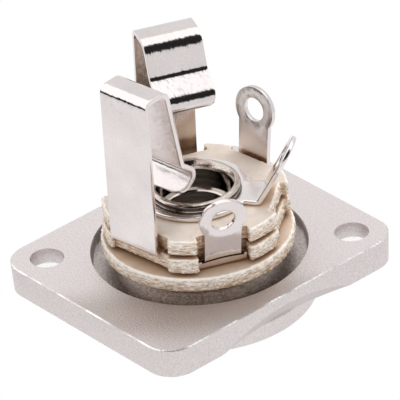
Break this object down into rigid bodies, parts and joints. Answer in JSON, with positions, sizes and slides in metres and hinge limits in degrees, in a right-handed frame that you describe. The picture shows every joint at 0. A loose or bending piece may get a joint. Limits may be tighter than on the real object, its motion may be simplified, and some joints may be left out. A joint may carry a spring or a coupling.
{
  "type": "phone jack",
  "caption": "Panel-mounted quarter inch phone jack on a rectangular die-cast flange, with folded contact springs, fibre spacers and pierced solder lugs.",
  "frame": {"origin": "centre of the two screw holes, on the flange's rear face and on the plug's axis", "axes": "+Z is the plug's axis and points to the contact springs, X runs along the flange's short side and Y along its long side"},
  "size_m": [0.026, 0.031, 0.0273],
  "materials": {
    "cast_flange": "die-cast zinc with a satin pearl nickel plating, finely grained",
    "plated_bushing": "turned brass, bright nickel plated",
    "plated_hardware": "nickel plated, slightly dull",
    "spring_strip": "spring bronze strip, bright nickel plated, with tinned solder lugs",
    "sleeve_strip": "brass strip, bright nickel plated, with a tinned solder lug",
    "fibre": "cream vulcanised fibre sheet with a speckled, fibrous cut edge",
    "fibre_tube": "plain rolled fibre"
  },
  "bodies": {
    "jack": {"flange": "cast_flange", "bushing": "plated_bushing", "washer": "plated_hardware", "nut": "plated_hardware", "base_disc": "fibre", "insulating_tube": "fibre_tube", "tip_terminal": "spring_strip", "lower_spacer": "fibre", "ring_terminal": "spring_strip", "upper_spacer": "fibre", "sleeve_terminal": "sleeve_strip"},
    "tip_contact": {"tip_spring": "spring_strip"},
    "ring_contact": {"ring_spring": "spring_strip"}
  },
  "joints": [
    {"name": "tip_spring_flex", "type": "hinge", "parent": "jack", "child": "tip_contact", "pos_m": [-0.00856, 0.00367, 0.00367], "axis": [-0.3939, -0.9191, 0], "range_deg": [0, 12], "stiffness_Nm_per_rad": 1.2},
    {"name": "ring_spring_flex", "type": "hinge", "parent": "jack", "child": "ring_contact", "pos_m": [0.00111, -0.00928, 0.00535], "axis": [0.993, 0.1184, 0], "range_deg": [0, 5], "stiffness_Nm_per_rad": 0.18}
  ]
}
